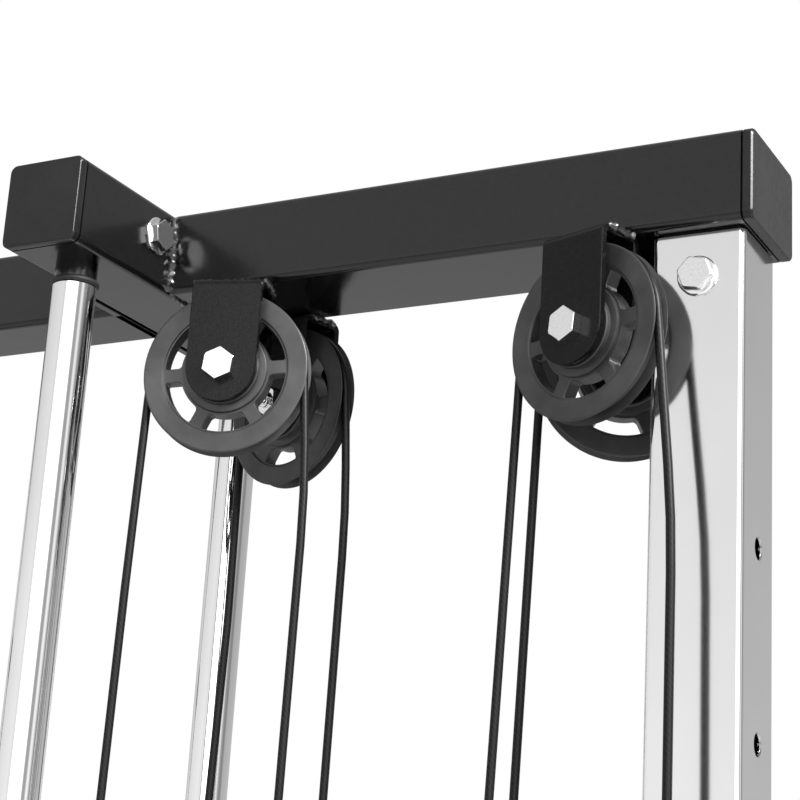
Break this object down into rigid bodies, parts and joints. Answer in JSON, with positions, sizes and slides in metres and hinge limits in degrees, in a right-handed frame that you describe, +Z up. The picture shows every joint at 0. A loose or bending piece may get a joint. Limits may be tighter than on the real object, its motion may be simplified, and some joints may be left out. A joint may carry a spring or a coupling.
{
  "type": "cable crossover machine",
  "caption": "Two cable towers joined by a top crossbar, each with guide rods, a selector weight stack, routed pulleys and a height-adjustable swivel trolley with a handle.",
  "frame": {"origin": "on the floor, at the centre of the footprint, midway between the towers", "axes": "+X from the left tower to the right one as seen by a user at the front, +Y to the rear, +Z up"},
  "size_m": [2.5006, 0.9, 2.1],
  "materials": {
    "black_frame": "semi-gloss black powder coat",
    "chrome": "polished chrome plate",
    "zinc_bolts": "bright zinc plate",
    "cap_plastic": "satin black plastic",
    "black_rubber": "matte",
    "pulley_nylon": "moulded dark nylon",
    "plate_iron": "black enamelled iron",
    "cable_sheath": "black nylon-coated wire rope"
  },
  "bodies": {
    "frame": {"top_crossbar": "black_frame", "top_beam_right": "black_frame", "top_beam_left": "black_frame", "top_headers": "black_frame", "columns": "chrome", "guide_rods": "chrome", "rod_rubbers": "black_rubber", "base_feet": "black_frame", "base_beams": "black_frame", "end_caps": "cap_plastic", "floor_pads": "black_rubber", "frame_bolts": "zinc_bolts", "pulley_brackets": "black_frame", "pulley_bolts": "zinc_bolts", "resting_plates": "plate_iron", "routed_cables": "cable_sheath", "lift_cable_right": "cable_sheath", "lift_cable_left": "cable_sheath", "trolley_top_cable_right": "cable_sheath", "trolley_top_cable_left": "cable_sheath", "trolley_bottom_cable_right": "cable_sheath", "trolley_bottom_cable_left": "cable_sheath"},
    "right_weights": {"stack_head_right": "plate_iron", "lifted_plates_right": "plate_iron"},
    "right_selector_pin": {"selector_pin_right": "chrome"},
    "right_top_front_inner_pulley": {"top_front_inner_pulley_right": "pulley_nylon"},
    "right_top_front_outer_pulley": {"top_front_outer_pulley_right": "pulley_nylon"},
    "right_base_front_pulley": {"base_front_pulley_right": "pulley_nylon"},
    "right_weight_pulley": {"weight_pulley_right": "pulley_nylon"},
    "right_top_rear_inner_pulley": {"top_rear_inner_pulley_right": "pulley_nylon"},
    "right_top_rear_outer_pulley": {"top_rear_outer_pulley_right": "pulley_nylon"},
    "right_base_rear_pulley": {"base_rear_pulley_right": "pulley_nylon"},
    "right_return_pulley": {"return_pulley_right": "pulley_nylon"},
    "right_trolley": {"trolley_right": "black_frame"},
    "right_pop_pin": {"pop_pin_right": "chrome"},
    "right_swivel": {"swivel_bracket_right": "black_frame", "swivel_cable_right": "cable_sheath"},
    "right_swivel_pulley": {"swivel_pulley_right": "pulley_nylon"},
    "right_cable_end": {"cable_end_right": "chrome"},
    "right_handle": {"handle_frame_right": "chrome"},
    "right_grip": {"handle_grip_right": "black_rubber"},
    "left_weights": {"stack_head_left": "plate_iron", "lifted_plates_left": "plate_iron"},
    "left_selector_pin": {"selector_pin_left": "chrome"},
    "left_top_front_inner_pulley": {"top_front_inner_pulley_left": "pulley_nylon"},
    "left_top_front_outer_pulley": {"top_front_outer_pulley_left": "pulley_nylon"},
    "left_base_front_pulley": {"base_front_pulley_left": "pulley_nylon"},
    "left_weight_pulley": {"weight_pulley_left": "pulley_nylon"},
    "left_top_rear_inner_pulley": {"top_rear_inner_pulley_left": "pulley_nylon"},
    "left_top_rear_outer_pulley": {"top_rear_outer_pulley_left": "pulley_nylon"},
    "left_base_rear_pulley": {"base_rear_pulley_left": "pulley_nylon"},
    "left_return_pulley": {"return_pulley_left": "pulley_nylon"},
    "left_trolley": {"trolley_left": "black_frame"},
    "left_pop_pin": {"pop_pin_left": "chrome"},
    "left_swivel": {"swivel_bracket_left": "black_frame", "swivel_cable_left": "cable_sheath"},
    "left_swivel_pulley": {"swivel_pulley_left": "pulley_nylon"},
    "left_cable_end": {"cable_end_left": "chrome"},
    "left_handle": {"handle_frame_left": "chrome"},
    "left_grip": {"handle_grip_left": "black_rubber"}
  },
  "joints": [
    {"name": "right_weight_lift", "type": "slide", "parent": "frame", "child": "right_weights", "axis": [0, 0, 1], "range_m": [0, 1.2], "deforming": ["lift_cable_right"]},
    {"name": "right_selector_pull", "type": "slide", "parent": "right_weights", "child": "right_selector_pin", "axis": [-1, 0, 0], "range_m": [0, 0.08]},
    {"name": "right_top_front_inner_pulley_spin", "type": "hinge", "parent": "frame", "child": "right_top_front_inner_pulley", "pos_m": [0.8905, -0.033, 1.9965], "axis": [0.2924, -0.9563, 0], "continuous": true},
    {"name": "right_top_front_outer_pulley_spin", "type": "hinge", "parent": "frame", "child": "right_top_front_outer_pulley", "pos_m": [1.112, -0.034, 1.9965], "axis": [-0.304, -0.9527, 0], "continuous": true},
    {"name": "right_base_front_pulley_spin", "type": "hinge", "parent": "frame", "child": "right_base_front_pulley", "pos_m": [0.964, -0.025, 0.1155], "axis": [0, -1, 0], "continuous": true},
    {"name": "right_weight_pulley_spin", "type": "hinge", "parent": "right_weights", "child": "right_weight_pulley", "pos_m": [0.82, 0, 0.5455], "axis": [1, 0, 0], "continuous": true},
    {"name": "right_top_rear_inner_pulley_spin", "type": "hinge", "parent": "frame", "child": "right_top_rear_inner_pulley", "pos_m": [0.892, 0.038, 1.9965], "axis": [-0.2924, -0.9563, 0], "continuous": true},
    {"name": "right_top_rear_outer_pulley_spin", "type": "hinge", "parent": "frame", "child": "right_top_rear_outer_pulley", "pos_m": [1.1045, 0.0365, 1.9965], "axis": [0.4384, -0.8988, 0], "continuous": true},
    {"name": "right_base_rear_pulley_spin", "type": "hinge", "parent": "frame", "child": "right_base_rear_pulley", "pos_m": [0.964, 0.025, 0.1155], "axis": [0, -1, 0], "continuous": true},
    {"name": "right_return_pulley_spin", "type": "hinge", "parent": "frame", "child": "right_return_pulley", "pos_m": [1.11, 0.018, 0.1155], "axis": [1, 0, 0], "continuous": true},
    {"name": "right_trolley_slide", "type": "slide", "parent": "frame", "child": "right_trolley", "axis": [0, 0, 1], "range_m": [-0.97, 0.485], "deforming": ["trolley_top_cable_right", "trolley_bottom_cable_right"]},
    {"name": "right_pop_pin_pull", "type": "slide", "parent": "right_trolley", "child": "right_pop_pin", "axis": [1, 0, 0], "range_m": [0, 0.01], "stiffness_N_per_m": 1000, "springref_m": -0.01},
    {"name": "right_swivel_turn", "type": "hinge", "parent": "right_trolley", "child": "right_swivel", "pos_m": [1.168, -0.055, 1.356], "axis": [0, 0, 1], "range_deg": [-60, 60]},
    {"name": "right_swivel_pulley_spin", "type": "hinge", "parent": "right_swivel", "child": "right_swivel_pulley", "pos_m": [1.168, -0.1, 1.356], "axis": [1, 0, 0], "continuous": true},
    {"name": "right_handle_pull", "type": "slide", "parent": "right_swivel", "child": "right_cable_end", "axis": [0, -1, 0], "range_m": [0, 2.4]},
    {"name": "right_handle_swing", "type": "hinge", "parent": "right_cable_end", "child": "right_handle", "pos_m": [1.168, -0.2123, 1.2583], "axis": [1, 0, 0], "range_deg": [-80, 60]},
    {"name": "right_grip_spin", "type": "hinge", "parent": "right_handle", "child": "right_grip", "pos_m": [1.168, -0.2123, 1.1399], "axis": [1, 0, 0], "continuous": true},
    {"name": "left_weight_lift", "type": "slide", "parent": "frame", "child": "left_weights", "axis": [0, 0, 1], "range_m": [0, 1.2], "deforming": ["lift_cable_left"]},
    {"name": "left_selector_pull", "type": "slide", "parent": "left_weights", "child": "left_selector_pin", "axis": [1, 0, 0], "range_m": [0, 0.08]},
    {"name": "left_top_front_inner_pulley_spin", "type": "hinge", "parent": "frame", "child": "left_top_front_inner_pulley", "pos_m": [-0.8905, -0.033, 1.9965], "axis": [-0.2924, -0.9563, 0], "continuous": true},
    {"name": "left_top_front_outer_pulley_spin", "type": "hinge", "parent": "frame", "child": "left_top_front_outer_pulley", "pos_m": [-1.112, -0.034, 1.9965], "axis": [0.304, -0.9527, 0], "continuous": true},
    {"name": "left_base_front_pulley_spin", "type": "hinge", "parent": "frame", "child": "left_base_front_pulley", "pos_m": [-0.964, -0.025, 0.1155], "axis": [0, -1, 0], "continuous": true},
    {"name": "left_weight_pulley_spin", "type": "hinge", "parent": "left_weights", "child": "left_weight_pulley", "pos_m": [-0.82, 0, 0.5455], "axis": [-1, 0, 0], "continuous": true},
    {"name": "left_top_rear_inner_pulley_spin", "type": "hinge", "parent": "frame", "child": "left_top_rear_inner_pulley", "pos_m": [-0.892, 0.038, 1.9965], "axis": [0.2924, -0.9563, 0], "continuous": true},
    {"name": "left_top_rear_outer_pulley_spin", "type": "hinge", "parent": "frame", "child": "left_top_rear_outer_pulley", "pos_m": [-1.1045, 0.0365, 1.9965], "axis": [-0.4384, -0.8988, 0], "continuous": true},
    {"name": "left_base_rear_pulley_spin", "type": "hinge", "parent": "frame", "child": "left_base_rear_pulley", "pos_m": [-0.964, 0.025, 0.1155], "axis": [0, -1, 0], "continuous": true},
    {"name": "left_return_pulley_spin", "type": "hinge", "parent": "frame", "child": "left_return_pulley", "pos_m": [-1.11, 0.018, 0.1155], "axis": [-1, 0, 0], "continuous": true},
    {"name": "left_trolley_slide", "type": "slide", "parent": "frame", "child": "left_trolley", "axis": [0, 0, 1], "range_m": [-0.97, 0.485], "deforming": ["trolley_top_cable_left", "trolley_bottom_cable_left"]},
    {"name": "left_pop_pin_pull", "type": "slide", "parent": "left_trolley", "child": "left_pop_pin", "axis": [-1, 0, 0], "range_m": [0, 0.01], "stiffness_N_per_m": 1000, "springref_m": -0.01},
    {"name": "left_swivel_turn", "type": "hinge", "parent": "left_trolley", "child": "left_swivel", "pos_m": [-1.168, -0.055, 1.356], "axis": [0, 0, 1], "range_deg": [-60, 60]},
    {"name": "left_swivel_pulley_spin", "type": "hinge", "parent": "left_swivel", "child": "left_swivel_pulley", "pos_m": [-1.168, -0.1, 1.356], "axis": [-1, 0, 0], "continuous": true},
    {"name": "left_handle_pull", "type": "slide", "parent": "left_swivel", "child": "left_cable_end", "axis": [0, -1, 0], "range_m": [0, 2.4]},
    {"name": "left_handle_swing", "type": "hinge", "parent": "left_cable_end", "child": "left_handle", "pos_m": [-1.168, -0.2123, 1.2583], "axis": [1, 0, 0], "range_deg": [-80, 60]},
    {"name": "left_grip_spin", "type": "hinge", "parent": "left_handle", "child": "left_grip", "pos_m": [-1.168, -0.2123, 1.1399], "axis": [1, 0, 0], "continuous": true}
  ],
  "couplings": [
    {"joint": "right_top_front_inner_pulley_spin", "follows": "right_weight_lift", "rad_per_m": -44.444},
    {"joint": "right_top_front_outer_pulley_spin", "follows": "right_weight_lift", "rad_per_m": -44.444},
    {"joint": "right_base_front_pulley_spin", "follows": "right_weight_lift", "rad_per_m": 44.444},
    {"joint": "right_weight_pulley_spin", "follows": "right_weight_lift", "rad_per_m": -22.222},
    {"joint": "right_top_rear_inner_pulley_spin", "follows": "right_trolley_slide", "rad_per_m": -22.222},
    {"joint": "right_top_rear_outer_pulley_spin", "follows": "right_trolley_slide", "rad_per_m": -22.222},
    {"joint": "right_base_rear_pulley_spin", "follows": "right_trolley_slide", "rad_per_m": 22.222},
    {"joint": "right_return_pulley_spin", "follows": "right_trolley_slide", "rad_per_m": -22.222},
    {"joint": "right_swivel_pulley_spin", "follows": "right_weight_lift", "rad_per_m": -44.444},
    {"joint": "right_handle_pull", "follows": "right_weight_lift", "ratio": 2},
    {"joint": "left_top_front_inner_pulley_spin", "follows": "left_weight_lift", "rad_per_m": 44.444},
    {"joint": "left_top_front_outer_pulley_spin", "follows": "left_weight_lift", "rad_per_m": 44.444},
    {"joint": "left_base_front_pulley_spin", "follows": "left_weight_lift", "rad_per_m": -44.444},
    {"joint": "left_weight_pulley_spin", "follows": "left_weight_lift", "rad_per_m": 22.222},
    {"joint": "left_top_rear_inner_pulley_spin", "follows": "left_trolley_slide", "rad_per_m": 22.222},
    {"joint": "left_top_rear_outer_pulley_spin", "follows": "left_trolley_slide", "rad_per_m": 22.222},
    {"joint": "left_base_rear_pulley_spin", "follows": "left_trolley_slide", "rad_per_m": -22.222},
    {"joint": "left_return_pulley_spin", "follows": "left_trolley_slide", "rad_per_m": 22.222},
    {"joint": "left_swivel_pulley_spin", "follows": "left_weight_lift", "rad_per_m": 44.444},
    {"joint": "left_handle_pull", "follows": "left_weight_lift", "ratio": 2}
  ]
}
